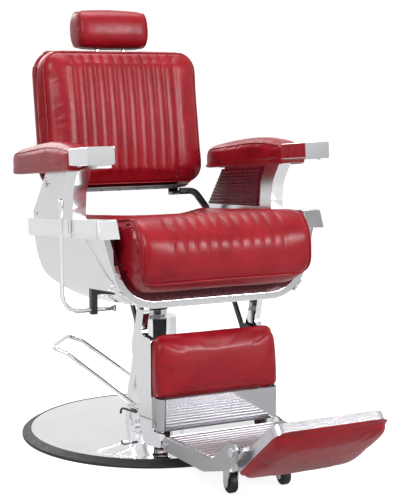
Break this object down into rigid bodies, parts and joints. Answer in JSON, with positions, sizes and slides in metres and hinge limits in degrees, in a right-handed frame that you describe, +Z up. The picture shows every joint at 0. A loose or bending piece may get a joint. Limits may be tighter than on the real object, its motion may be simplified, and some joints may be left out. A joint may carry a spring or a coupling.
{
  "type": "hydraulic barber chair",
  "caption": "Upholstered chair on a round pump base, with a reclining back, a head rest, a swinging footrest with a flip panel, padded arms and a foot lever.",
  "frame": {"origin": "on the floor, on the axis of the pump column", "axes": "+Z up; the sitter faces -Y; the sitter's left hand is on +X"},
  "size_m": [0.7299, 1.2839, 1.1565],
  "materials": {
    "chrome": "polished",
    "steel": "satin",
    "black_steel": "semi-gloss",
    "red_leather": "soft sheen",
    "maroon_trim": "gloss",
    "black_rubber": "matte",
    "black_plastic": "matte",
    "plywood": "raw"
  },
  "bodies": {
    "base": {"base_dish": "chrome", "base_rubber_ring": "black_rubber", "base_plate": "black_steel", "base_bolts": "steel", "pump_cylinder": "black_steel", "pump_gland": "steel", "pump_sleeve": "chrome", "lever_bracket": "steel", "lever_pins": "steel"},
    "pump_lever_set": {"pump_lever": "chrome", "lever_hook": "black_steel"},
    "piston": {"piston_ram": "steel"},
    "seat": {"seat_hub": "black_steel", "seat_frame": "black_steel", "seat_board": "plywood", "seat_cushion": "red_leather", "front_band": "chrome", "seat_apron": "maroon_trim", "band_clips": "steel", "side_shell_right": "chrome", "side_shell_left": "chrome", "side_beam_right": "chrome", "side_beam_left": "chrome", "arm_frame_right": "chrome", "arm_frame_left": "chrome", "arm_panel_right": "maroon_trim", "arm_panel_left": "maroon_trim", "arm_pad_right": "red_leather", "arm_pad_left": "red_leather", "arm_cap_right": "chrome", "arm_cap_left": "chrome", "recline_bracket": "black_steel", "back_pins": "steel", "foot_pins": "steel", "seat_bolts": "steel"},
    "recline_handle": {"recline_rod": "chrome", "recline_knob": "chrome"},
    "back": {"back_frame": "black_steel", "back_board": "plywood", "back_shell": "red_leather", "back_cushion": "red_leather", "back_strip": "black_plastic", "headrest_sockets": "chrome"},
    "headrest": {"headrest_posts": "chrome", "headrest_cushion": "red_leather"},
    "footrest": {"foot_arm_right": "chrome", "foot_arm_left": "chrome", "calf_board": "black_steel", "calf_pad": "red_leather", "kick_plate": "chrome", "foot_tread": "chrome", "foot_bolts": "steel", "caster_forks": "chrome", "flip_pins": "steel"},
    "caster_right": {"caster_wheel_right": "black_rubber"},
    "caster_left": {"caster_wheel_left": "black_rubber"},
    "flip_panel": {"flip_board": "chrome", "flip_pad": "red_leather", "flip_hinges": "chrome"},
    "links": {"link_bars": "black_steel"}
  },
  "joints": [
    {"name": "lift", "type": "slide", "parent": "base", "child": "piston", "axis": [0, 0, 1], "range_m": [0, 0.15]},
    {"name": "swivel", "type": "hinge", "parent": "piston", "child": "seat", "pos_m": [0, 0, 0.33], "axis": [0, 0, 1], "continuous": true},
    {"name": "pump_stroke", "type": "hinge", "parent": "base", "child": "pump_lever_set", "pos_m": [-0.02427, 0.01763, 0.046], "axis": [-0.5878, -0.809, 0], "range_deg": [0, 30], "stiffness_Nm_per_rad": 8, "springref_deg": -28.65},
    {"name": "handle_turn", "type": "hinge", "parent": "seat", "child": "recline_handle", "pos_m": [-0.25, -0.148, 0.378], "axis": [1, 0, 0], "range_deg": [-15, 15], "stiffness_Nm_per_rad": 6},
    {"name": "back_recline", "type": "hinge", "parent": "seat", "child": "back", "pos_m": [0, 0.155, 0.51], "axis": [-1, 0, 0], "range_deg": [0, 45]},
    {"name": "footrest_swing", "type": "hinge", "parent": "seat", "child": "footrest", "pos_m": [0, -0.3, 0.44], "axis": [-1, 0, 0], "range_deg": [0, 45]},
    {"name": "link_turn", "type": "hinge", "parent": "footrest", "child": "links", "pos_m": [0, -0.335, 0.316], "axis": [-1, 0, 0], "range_deg": [-45, 0]},
    {"name": "flip_turn", "type": "hinge", "parent": "footrest", "child": "flip_panel", "pos_m": [0, -0.762, 0.158], "axis": [-1, 0, 0], "range_deg": [0, 142]},
    {"name": "caster_spin_right", "type": "hinge", "parent": "footrest", "child": "caster_right", "pos_m": [-0.071, -0.581, 0.025], "axis": [1, 0, 0], "continuous": true},
    {"name": "caster_spin_left", "type": "hinge", "parent": "footrest", "child": "caster_left", "pos_m": [0.071, -0.581, 0.025], "axis": [1, 0, 0], "continuous": true},
    {"name": "headrest_slide", "type": "slide", "parent": "back", "child": "headrest", "axis": [0, 0.1599, 0.9871], "range_m": [0, 0.09]}
  ],
  "couplings": [
    {"joint": "footrest_swing", "follows": "back_recline", "ratio": 1},
    {"joint": "link_turn", "follows": "back_recline", "ratio": -1}
  ]
}
